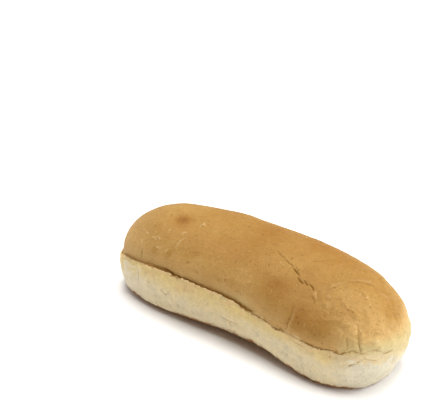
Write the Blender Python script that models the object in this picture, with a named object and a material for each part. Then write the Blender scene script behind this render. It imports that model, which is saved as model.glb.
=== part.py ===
"""Hot dog bun, whole and uncut, as one closed solid.

The bun is a pale, soft side wall that stands on a flat underside, with a browned crust dome above it. Where
the two meet, the wall ends in a torn lip and the crust curls under into a crease.

Seen from above, its length runs along X and its hollow side faces -Y. Every cross-section is laid out from
the same outline: stations run once round the bun, starting at the +X tip, and each station carries a profile
that climbs from the underside over the foot, the wall, the lip, the crease and the dome to a ridge line on top.
Units are metres, +Z is up, and the origin is at the middle of the footprint, on the surface it rests on.
"""

import math

import bmesh
import bpy
import numpy as np

# Outline of the wall's lip from above
HALF_LENGTH = 0.0740
HALF_WIDTH = 0.0286
END_BLUNTNESS = 4.9  # 2 * HALF_LENGTH / HALF_WIDTH makes the ends half-circles
WIDER_AT_PLUS_X = 0.07  # share by which the +X end is wider, and the other end narrower
BEND = 0.0064  # how far the middle is pushed to +Y
HOLLOW_DEPTH, HOLLOW_X, HOLLOW_REACH = 0.0006, 0.0055, 0.0214
SWELL_DEPTH, SWELL_X, SWELL_REACH = 0.0012, 0.0254, 0.0204  # on the +Y side

# Heights
TOP_HEIGHT = 0.0396
TOP_SWELL, TOP_SWELL_X, TOP_SWELL_REACH = 0.0013, 0.0150, 0.0180
LIP_HEIGHT = 0.0236
LIP_DROP, LIP_DROP_START, LIP_DROP_END = 0.0026, -0.0075, 0.0325  # towards +X
LIP_DROP_AT_MINUS_X, LIP_DROP_FACING_MINUS_X = 0.0043, 0.0028  # at the -X end, and where it faces -X
CORNER_DROP, CORNER_FACING, CORNER_SPREAD = 0.0112, 36.0, 40.0  # at the far +X corner, in degrees
BEYOND_DROP, BEYOND_SPREAD = 0.0078, 75.0  # from that corner back along the +Y side

# Side wall and the foot that it stands on
WALL_TAPER, WALL_TAPER_PLUS_X, WALL_TAPER_MINUS_X = 0.0012, 0.0012, 0.0010
WALL_BULGE_PLUS_X, WALL_BULGE_MINUS_X = 0.0017, 0.0012
TUCK, TUCK_FACING, TUCK_SPREAD = 0.0019, 56.0, 32.0  # the wall leans in at the far +X corner
FOOT_RADIUS, FOOT_RADIUS_PLUS_X, FOOT_RADIUS_CORNER = 0.0050, 0.0039, 0.0070
FOOT_RADIUS_HOLLOW, FOOT_HOLLOW_X = 0.0118, 0.0130
FOOT_HOLLOW_REACH_MINUS_X, FOOT_HOLLOW_REACH_PLUS_X = 0.0370, 0.0260
HIGHEST_FOOT = 0.9  # share of the lip's height

# Lip, crease and the crust's lower edge
LIP_RADIUS = 0.0008
CREASE_DEPTH, CREASE_DEPTH_OPEN = 0.0007, 0.0018  # the crease gapes along the -X half of the hollow side
CREASE_SETBACK, LEAST_SETBACK = 0.0025, 0.0016
CURL_HEIGHT, CURL_HEIGHT_CORNER = 0.0024, 0.0052
# how far the crust stands out past the lip, and back from it where negative
CRUST_OUT_HOLLOW_MINUS_X, CRUST_OUT_HOLLOW_PLUS_X = -0.0018, 0.0004
CRUST_OUT_SWELL, CRUST_OUT_PLUS_X, CRUST_OUT_MINUS_X = 0.0004, 0.0022, -0.0012
DOME_ROUNDNESS, DOME_ROUNDNESS_MINUS_X = 1.92, 2.13

# Relief of the crust: soft dents and swells as (x, y, radius, height)
DENTS = (
    (-0.043, -0.001, 0.0060, -0.0006),
    (-0.044, -0.020, 0.0038, -0.0006),
    (-0.035, -0.019, 0.0034, -0.0005),
    (0.041, -0.019, 0.0024, -0.0005),
    (0.029, -0.019, 0.0090, -0.0007),
    (0.052, -0.006, 0.0110, 0.0005),
    (-0.012, 0.016, 0.0160, 0.0004),
    (-0.046, 0.021, 0.0090, -0.0006),
    (-0.029, 0.027, 0.0065, 0.0005),
    (0.056, 0.026, 0.0070, -0.0004),
    (0.010, 0.030, 0.0120, 0.0002),
)
# Stepped crack over the top of the crust, in plan
CRACK = (
    ((0.0115, 0.0012), (0.0166, -0.0018), (0.0212, -0.0033), (0.0243, -0.0053), (0.0287, -0.0067)),
    ((0.0287, -0.0079), (0.0331, -0.0094)),
    ((0.0324, -0.0080), (0.0360, -0.0095)),
    ((0.0361, -0.0086), (0.0398, -0.0106)),
    ((0.0412, -0.0100), (0.0449, -0.0140)),
)
CRACK_DEPTH, CRACK_REACH = 0.0010, 0.0009
# Creases that run down the crust to the lip, in plan
FOLDS = (
    ((0.0353, -0.0189), (0.0362, -0.0234)),
    ((0.0641, -0.0198), (0.0655, -0.0213)),
    ((0.0659, -0.0147), (0.0684, -0.0172), (0.0697, -0.0180)),
    ((-0.0300, 0.0360), (-0.0310, 0.0310)),
    ((-0.0660, 0.0150), (-0.0610, 0.0135)),
)
FOLD_DEPTH, FOLD_REACH = 0.0011, 0.0012

# Torn lip: waves along the lip as (waves round the bun, phase, height), and crags as (x, y, radius, height)
LIP_WAVES = ((41, 0.4, 0.00022), (59, 2.1, 0.00018), (73, 4.0, 0.00014))
CRAGS = (
    (-0.0735, -0.0050, 0.0030, 0.0010),
    (0.0280, -0.0236, 0.0022, 0.0006),
    (0.0605, -0.0217, 0.0018, 0.0008),
    (0.0670, -0.0192, 0.0018, 0.0006),
    (0.0725, -0.0137, 0.0020, 0.0007),
    (0.0750, -0.0080, 0.0018, 0.0005),
    (-0.0200, 0.0340, 0.0022, 0.0006),
    (0.0450, 0.0330, 0.0024, 0.0007),
)
WALL_WAVES = ((9, 1.1, 0.00025), (17, 3.0, 0.00018), (29, 0.6, 0.00012))

# Fineness
STATIONS = 184
FOOT_ROWS, WALL_ROWS, LIP_ROWS, CURL_ROWS, DOME_ROWS = 4, 6, 2, 3, 12

CRUST_COLOUR, CRUST_ROUGHNESS = (0.54, 0.30, 0.095, 1.0), 0.55
WALL_COLOUR, WALL_ROUGHNESS = (0.64, 0.51, 0.28, 1.0), 0.80
UNDERSIDE_COLOUR, UNDERSIDE_ROUGHNESS = (0.42, 0.24, 0.09, 1.0), 0.75


def clear_scene():
    for thing in list(bpy.data.objects):
        bpy.data.objects.remove(thing, do_unlink=True)


def rise(start, end, value):
    """0 before start, 1 after end, and a smooth climb between them."""
    share = np.clip((value - start) / (end - start), 0.0, 1.0)
    return share * share * (3.0 - 2.0 * share)


def bell(value, centre, reach):
    return np.exp(-(((value - centre) / reach) ** 2))


def arc(x):
    """How far the bun's middle line is pushed to +Y at x."""
    return BEND * (1.0 - (x / HALF_LENGTH) ** 2)


def lip_outline():
    """Stations round the lip from above, their outward directions, and the ridge point above each."""
    turn = np.linspace(0.0, math.pi, 3000)
    x = HALF_LENGTH * np.sign(np.cos(turn)) * np.abs(np.cos(turn)) ** (2.0 / END_BLUNTNESS)
    y = HALF_WIDTH * np.sin(turn)
    travelled = np.concatenate(([0.0], np.cumsum(np.hypot(np.diff(x), np.diff(y)))))
    even = np.linspace(0.0, travelled[-1], STATIONS // 2 + 1)
    x, y = np.interp(even, travelled, x), np.interp(even, travelled, y)
    # the -Y half mirrors the +Y half, so that stations pair off across the ridge
    x, y = np.concatenate((x, x[-2:0:-1])), np.concatenate((y, -y[-2:0:-1]))
    swell_side = rise(-0.35 * HALF_WIDTH, 0.35 * HALF_WIDTH, y)
    y = y * (1.0 + WIDER_AT_PLUS_X * x / HALF_LENGTH) + arc(x)
    y = y + HOLLOW_DEPTH * (1.0 - swell_side) * bell(x, HOLLOW_X, HOLLOW_REACH)
    y = y + SWELL_DEPTH * swell_side * bell(x, SWELL_X, SWELL_REACH)
    outline = np.stack((x, y), axis=1)
    along = np.roll(outline, -1, axis=0) - np.roll(outline, 1, axis=0)
    along /= np.linalg.norm(along, axis=1)[:, None]
    outward = np.stack((along[:, 1], -along[:, 0]), axis=1)
    ridge_end = HALF_LENGTH - 0.95 * HALF_WIDTH
    ridge_x = np.clip(x, -ridge_end, ridge_end)
    return outline, outward, np.stack((ridge_x, arc(ridge_x)), axis=1)


def station_sizes(outline, outward):
    """The profile's sizes at each station, by name."""
    x = outline[:, 0]
    hollow_side = rise(0.45, -0.45, outward[:, 1])
    plus_end, minus_end = rise(0.0, 0.95, outward[:, 0]), rise(0.0, 0.95, -outward[:, 0])
    sides = 1.0 - plus_end - minus_end
    facing = np.degrees(np.arctan2(outward[:, 1], outward[:, 0]))
    corner = bell(facing, CORNER_FACING, CORNER_SPREAD) * rise(0.020, 0.060, x)
    past_corner = bell(facing, CORNER_FACING, BEYOND_SPREAD) - bell(facing, CORNER_FACING, CORNER_SPREAD)
    beyond = BEYOND_DROP * np.where(facing > CORNER_FACING, past_corner, 0.0) * rise(-0.020, 0.060, x)
    lip = LIP_HEIGHT - LIP_DROP * rise(LIP_DROP_START, LIP_DROP_END, x) - beyond
    lip = lip - LIP_DROP_AT_MINUS_X * rise(-0.040, -0.070, x) - CORNER_DROP * corner
    lip = lip - LIP_DROP_FACING_MINUS_X * rise(0.40, 1.0, -outward[:, 0])
    foot = FOOT_RADIUS + (FOOT_RADIUS_PLUS_X - FOOT_RADIUS) * rise(0.020, 0.045, x)
    foot = foot + (FOOT_RADIUS_CORNER - FOOT_RADIUS_PLUS_X) * corner
    foot_reach = np.where(x < FOOT_HOLLOW_X, FOOT_HOLLOW_REACH_MINUS_X, FOOT_HOLLOW_REACH_PLUS_X)
    in_hollow = hollow_side * bell(x, FOOT_HOLLOW_X, foot_reach)
    foot = foot + (FOOT_RADIUS_HOLLOW - FOOT_RADIUS) * in_hollow
    crust_hollow = CRUST_OUT_HOLLOW_MINUS_X * rise(0.060, 0.0, x)
    crust_hollow = crust_hollow + CRUST_OUT_HOLLOW_PLUS_X * rise(0.0, 0.060, x)
    crust_sides = crust_hollow * hollow_side + CRUST_OUT_SWELL * (1.0 - hollow_side)
    crust_out = crust_sides * sides + CRUST_OUT_PLUS_X * plus_end + CRUST_OUT_MINUS_X * minus_end
    gape = hollow_side * rise(-0.066, -0.045, x) * rise(0.020, 0.008, x)
    taper = WALL_TAPER * sides + WALL_TAPER_PLUS_X * plus_end + WALL_TAPER_MINUS_X * minus_end
    rounder = DOME_ROUNDNESS_MINUS_X - DOME_ROUNDNESS
    return {
        "lip": lip,
        "curl": CURL_HEIGHT + (CURL_HEIGHT_CORNER - CURL_HEIGHT) * corner + beyond,
        "tuck": TUCK * bell(facing, TUCK_FACING, TUCK_SPREAD) * rise(0.030, 0.060, x),
        "roundness": DOME_ROUNDNESS + rounder * rise(0.1, 0.9, -outward[:, 0]),
        "foot": np.minimum(foot, HIGHEST_FOOT * lip),
        "taper": taper,
        "bulge": WALL_BULGE_PLUS_X * plus_end + WALL_BULGE_MINUS_X * minus_end,
        "crust_out": crust_out,
        "crease_out": np.minimum(crust_out - CREASE_SETBACK, -LEAST_SETBACK),
        "crease_depth": CREASE_DEPTH + (CREASE_DEPTH_OPEN - CREASE_DEPTH) * gape,
    }


def lower_rows(size):
    """Rows from the underside to the crust's widest place, as (distance out, height, upward tilt)."""
    rows = []
    for turn in np.linspace(0.0, math.pi / 2.0, FOOT_ROWS + 1):
        out = -size["taper"] - size["foot"] * (1.0 - math.sin(turn))
        rows.append((out, size["foot"] * (1.0 - math.cos(turn)), turn - math.pi / 2.0))
    wall_top = size["lip"] - LIP_RADIUS
    for share in np.linspace(0.0, 1.0, WALL_ROWS + 1)[1:]:
        out = -size["taper"] * (1.0 - share) ** 1.3 + size["bulge"] * math.sin(math.pi * share)
        out = out - size["tuck"] * share
        rows.append((out, size["foot"] + (wall_top - size["foot"]) * share, 0.0))
    for turn in np.linspace(0.0, math.pi / 2.0, LIP_ROWS + 1)[1:]:
        out = -size["tuck"] - LIP_RADIUS * (1.0 - math.cos(turn))
        rows.append((out, wall_top + LIP_RADIUS * math.sin(turn), turn))
    crease_out = size["crease_out"] - size["tuck"]
    rows.append((crease_out, size["lip"] - size["crease_depth"], math.pi / 2.0))
    curl_in = size["crust_out"] - crease_out
    for turn in np.linspace(-math.pi / 2.0, 0.0, CURL_ROWS + 2)[1:-1]:
        out = size["crust_out"] - curl_in * (1.0 - math.cos(turn))
        rows.append((out, size["lip"] + size["curl"] * (1.0 + math.sin(turn)), 0.5 * turn))
    return rows


def smooth_rings():
    """The bun before its relief: points and outward directions, one ring of stations a row."""
    outline, outward, ridge = lip_outline()
    size = station_sizes(outline, outward)
    rings, directions = [], []
    for out, height, tilt in lower_rows(size):
        rings.append(np.column_stack((outline + outward * out[:, None], height)))
        directions.append(np.column_stack((outward * math.cos(tilt), np.full(STATIONS, math.sin(tilt)))))
    widest = outline + outward * size["crust_out"][:, None]
    base = size["lip"] + size["curl"]
    top = TOP_HEIGHT + TOP_SWELL * bell(ridge[:, 0], TOP_SWELL_X, TOP_SWELL_REACH)
    for turn in np.linspace(0.0, math.pi / 2.0, DOME_ROWS + 1):
        flat_share = 0.0 if turn == math.pi / 2.0 else math.cos(turn)
        inward = flat_share ** (2.0 / size["roundness"])
        upward = math.sin(turn) ** (2.0 / size["roundness"])
        plan = ridge + (widest - ridge) * inward[:, None]
        rings.append(np.column_stack((plan, base + (top - base) * upward)))
        directions.append(np.column_stack((outward * math.cos(turn), np.full(STATIONS, math.sin(turn)))))
    directions[-1][:] = (0.0, 0.0, 1.0)
    return np.array(rings), np.array(directions)


def distance_to_line(plan, line):
    """Distance in plan from each point to the nearest stretch of a broken line."""
    nearest = np.full(plan.shape[:-1], np.inf)
    for start, end in zip(line[:-1], line[1:]):
        start, step = np.array(start), np.subtract(end, start)
        share = np.clip(((plan - start) @ step) / (step @ step), 0.0, 1.0)
        nearest = np.minimum(nearest, np.linalg.norm(plan - start - share[..., None] * step, axis=-1))
    return nearest


def spots(plan, places):
    """Sum of round hills and hollows given as (x, y, radius, height)."""
    total = np.zeros(plan.shape[:-1])
    for x, y, radius, height in places:
        total += height * bell(np.hypot(plan[..., 0] - x, plan[..., 1] - y), 0.0, radius)
    return total


def waves(lists):
    """Waves along the stations, closed round the bun."""
    round_bun = np.arange(STATIONS) * (2.0 * math.pi / STATIONS)
    return sum(height * np.sin(count * round_bun + phase) for count, phase, height in lists)


def relief(rings):
    """How far each point stands out from the smooth bun."""
    rows = np.arange(len(rings))
    wall_start, lip_start = FOOT_ROWS + 1, FOOT_ROWS + WALL_ROWS
    dome_start = lip_start + LIP_ROWS + 2
    on_wall = ((rows >= wall_start) & (rows <= lip_start)).astype(float)[:, None]
    on_lip = ((rows >= lip_start) & (rows <= lip_start + LIP_ROWS)).astype(float)[:, None]
    on_edge = ((rows >= lip_start) & (rows < dome_start + CURL_ROWS)).astype(float)[:, None]
    on_crust = (rows >= dome_start).astype(float)[:, None]
    plan = rings[..., :2]
    height = on_crust * spots(plan, DENTS) + on_edge * spots(plan, CRAGS)
    height = height + on_wall * waves(WALL_WAVES) + on_lip * waves(LIP_WAVES)
    for line in CRACK:
        height = height - on_crust * CRACK_DEPTH * bell(distance_to_line(plan, line), 0.0, CRACK_REACH)
    for line in FOLDS:
        height = height - on_crust * FOLD_DEPTH * bell(distance_to_line(plan, line), 0.0, FOLD_REACH)
    return height


def material(name, colour, roughness):
    finish = bpy.data.materials.new(name)
    finish.use_nodes = True
    shader = finish.node_tree.nodes["Principled BSDF"]
    shader.inputs["Base Color"].default_value = colour
    shader.inputs["Roughness"].default_value = roughness
    shader.inputs["Metallic"].default_value = 0.0
    finish.diffuse_color = colour
    return finish


def closed_mesh(name, rings):
    """One closed skin: the rings joined in order, the underside bridged flat and the ridge welded."""
    shape = bmesh.new()
    corners = [[shape.verts.new(point) for point in ring] for ring in rings]
    for lower, upper in zip(corners[:-1], corners[1:]):
        for i in range(STATIONS):
            j = (i + 1) % STATIONS
            shape.faces.new((lower[i], lower[j], upper[j], upper[i]))
    floor = corners[0]
    for i in range(STATIONS // 2):
        strip = (floor[-i], floor[-i - 1], floor[i + 1], floor[i])
        shape.faces.new(strip if i and i + 1 < STATIONS // 2 else dict.fromkeys(strip))
    bmesh.ops.remove_doubles(shape, verts=corners[-1], dist=1e-7)
    mesh = bpy.data.meshes.new(name)
    shape.to_mesh(mesh)
    shape.free()
    return mesh


def make_bun():
    rings, directions = smooth_rings()
    rings = rings + directions * relief(rings)[..., None]
    middle = (rings.reshape(-1, 3).min(axis=0) + rings.reshape(-1, 3).max(axis=0)) / 2.0
    rings[..., :2] -= middle[:2]
    mesh = closed_mesh("bun", rings)
    mesh.materials.append(material("crust", CRUST_COLOUR, CRUST_ROUGHNESS))
    mesh.materials.append(material("side wall", WALL_COLOUR, WALL_ROUGHNESS))
    mesh.materials.append(material("underside", UNDERSIDE_COLOUR, UNDERSIDE_ROUGHNESS))
    below_crust = STATIONS * (FOOT_ROWS + WALL_ROWS + LIP_ROWS + 1)
    for face in mesh.polygons:
        flat_below = face.center.z < 1e-6
        face.material_index = 2 if flat_below else int(face.index < below_crust)
    mesh.shade_smooth()
    bun = bpy.data.objects.new("bun", mesh)
    bpy.context.collection.objects.link(bun)
    return bun


def main():
    clear_scene()
    make_bun()


main()
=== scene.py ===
import math

import bpy
import numpy as np
from mathutils import Matrix, Vector
from mathutils.bvhtree import BVHTree


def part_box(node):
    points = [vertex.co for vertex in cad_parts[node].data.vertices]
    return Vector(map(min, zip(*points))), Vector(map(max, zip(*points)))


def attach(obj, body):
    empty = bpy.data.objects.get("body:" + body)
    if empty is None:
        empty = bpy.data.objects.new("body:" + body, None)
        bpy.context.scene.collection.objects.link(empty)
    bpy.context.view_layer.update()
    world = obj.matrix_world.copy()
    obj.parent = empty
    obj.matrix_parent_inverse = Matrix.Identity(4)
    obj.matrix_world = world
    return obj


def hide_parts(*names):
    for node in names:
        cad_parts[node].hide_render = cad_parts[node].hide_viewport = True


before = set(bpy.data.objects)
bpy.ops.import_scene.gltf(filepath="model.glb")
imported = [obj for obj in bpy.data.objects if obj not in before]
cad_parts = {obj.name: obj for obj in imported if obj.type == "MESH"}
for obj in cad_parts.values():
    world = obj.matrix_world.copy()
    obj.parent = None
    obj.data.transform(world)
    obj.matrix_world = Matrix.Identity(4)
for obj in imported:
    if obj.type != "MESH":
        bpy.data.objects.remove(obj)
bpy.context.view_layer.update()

# Hot dog bun: one closed skin worked out on a fine grid, which stands in for the solid "bun".
# The form is laid out in millimetres round the origin, then made metres and moved onto the solid's box.
metresPerMillimetre = 0.001

# Form of the bun, the same driving sizes as its solid. A span is (none, full): where a size starts to come in
# and where it is whole, along x or by how far a station faces an end, 1 being straight at it.
bunForm = {
    "stations": 552,                  # points once round the bun
    "footRows": 10, "wallRows": 40, "lipRows": 7, "creaseRows": 4, "curlRows": 12, "domeRows": 102,
    "halfLength": 74.0, "halfWidth": 28.6, "endBluntness": 4.9, "outlineSamples": 4000,
    "widerAtPlusX": 0.07, "bend": 6.4,
    "sideBlend": 0.35, "ridgeInset": 0.95,            # in half widths
    "hollowDepth": 0.6, "hollowX": 5.5, "hollowReach": 21.4,
    "swellDepth": 1.2, "swellX": 25.4, "swellReach": 20.4,
    "topHeight": 39.6, "topSwell": 1.3, "topSwellX": 15.0, "topSwellReach": 18.0,
    "lipHeight": 23.6, "lipDrop": 2.6, "lipDropAtMinusX": 4.3, "lipDropFacingMinusX": 3.8,
    "cornerDrop": 11.2, "cornerFacing": 36.0, "cornerSpread": 40.0,
    "beyondDrop": 7.8, "beyondSpread": 75.0,
    "tuck": 1.9, "tuckFacing": 56.0, "tuckSpread": 32.0, "lipOutMinusX": 0.6,
    "wallTaper": 1.2, "wallTaperPlusX": 1.2, "wallTaperMinusX": 1.0, "taperCurve": 1.3,
    "wallBulgePlusX": 1.7, "wallBulgeMinusX": 0.7,
    "footRadius": 5.0, "footRadiusPlusX": 3.9, "footRadiusCorner": 7.0, "highestFoot": 0.9,
    "footRadiusHollow": 11.8, "footHollowX": 13.0,
    "footHollowReachMinusX": 37.0, "footHollowReachPlusX": 26.0,
    "undercut": 5.0, "undercutTop": 0.45,             # the foot's hidden hollow on the near side
    "lipRadius": 0.6, "creaseDepth": 0.5, "creaseDepthOpen": 0.7,
    "creaseGap": 0.4, "curlHeight": 2.4, "curlHeightCorner": 5.2,
    "crustOutHollowMinusX": -1.8, "crustOutHollowPlusX": 0.4,
    "crustOutSwell": 0.4, "crustOutPlusX": 2.2, "crustOutMinusX": -1.2,
    "domeRoundness": 1.92, "domeRoundnessMinusX": 2.13, "thinClosed": 0.90,
    "spansAlongX": {
        "lipDrop": (-7.5, 32.5), "lipDropAtMinusX": (-40.0, -70.0), "corner": (20.0, 60.0),
        "beyond": (-20.0, 60.0), "tuck": (30.0, 60.0), "footPlusX": (20.0, 45.0),
        "crustMinusX": (60.0, 0.0), "crustPlusX": (0.0, 60.0),
        "gapeStart": (-72.0, -30.0), "gapeEnd": (18.0, 7.0),    # the crease gapes between these
        "thin": (12.0, 19.0), "closed": (57.5, 69.0),           # is a thin line from there, and runs out in +X
    },
    "hollowSideSpan": (0.45, -0.45), "endSpan": (0.0, 0.95),
    "lipFacingSpan": (0.40, 1.0), "roundnessSpan": (0.1, 0.9),
}

# Relief over the whole bun: dents are (x, y, reach, height) in plan, crags (x, y, z, reach, height)
bunRelief = {
    "dents": (
        (-43.0, -1.0, 6.0, -0.6), (-44.0, -20.0, 3.8, -0.6), (-35.0, -19.0, 3.4, -0.5),
        (29.0, -19.0, 9.0, -0.7), (52.0, -6.0, 11.0, 0.5), (-12.0, 16.0, 16.0, 0.4),
        (-46.0, 21.0, 9.0, -0.6), (-29.0, 27.0, 6.5, 0.5), (56.0, 26.0, 7.0, -0.4), (10.0, 30.0, 12.0, 0.2),
    ),
    "crags": (
        (-73.5, -5.0, 18.0, 2.8, 1.0), (28.5, -23.5, 20.5, 2.0, 0.7), (62.0, -21.5, 21.0, 1.7, 0.7),
        (66.5, -20.0, 21.5, 1.4, 0.6), (73.5, -11.0, 25.0, 1.9, 0.6), (74.5, -9.5, 22.5, 1.3, 0.6),
        (60.5, -0.5, 37.0, 0.9, 0.4), (-20.0, 34.0, 23.0, 2.2, 0.6), (45.0, 33.0, 20.0, 2.4, 0.7),
        (75.0, -3.0, 19.0, 1.5, 0.5),
    ),
    "wallWaves": ((9, 1.1, 0.25), (17, 3.0, 0.18), (29, 0.6, 0.12)),
    "lipSteps": 3.4, "lipStepHeight": 1.2,            # torn teeth of the lip, each a slope and a drop
    "stepShake": 0.9, "stepShakeCell": 2.0, "stepSize": 0.55, "stepSizeChange": 0.45, "stepSizeCell": 3.0,
    "leastTorn": 0.35,                                # share of the tearing where the crease is shut
    "lipNoise": ((10.5, 0.4), (4.2, 0.35), (1.4, 0.4)),
    "curlNoise": ((9.0, 0.3), (2.8, 0.14)),
    "wallStreaks": ((2.6, 0.13), (1.0, 0.06)), "streakStretch": 3.2,
    "skin": ((14.0, 0.22), (6.2, 0.14), (2.9, 0.07), (1.3, 0.04)),
    "wrinkles": ((4.2, 0.22), (2.1, 0.12)),
    "wrinkleSpan": (35.0, 66.0), "wrinkleSharpness": 3.0,
    "footNoise": ((3.0, 0.3), (1.1, 0.22)),
    "poreCell": 3.6, "poreShare": 0.5, "poreRadius": 0.42, "poreDepth": 0.26,
    "levels": {                                       # spans of level where each relief comes in and goes
        "wall": ((1.0, 1.2), (2.2, 2.0)), "lip": ((1.7, 2.2), (3.7, 3.2)), "curl": ((3.9, 4.4), (5.12, 4.95)),
        "crust": ((4.1, 4.5),), "wrinkled": ((4.3, 4.8),), "foot": ((0.05, 0.3), (1.1, 0.6)),
        "offFloor": ((0.1, 0.5),),
    },
    "seeds": {
        "skin": 21, "streaks": 31, "foot": 41, "wrinkles": 51, "pores": 61, "steps": 71, "stepSizes": 72,
        "lip": 81, "curl": 91,
    },
}

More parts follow.
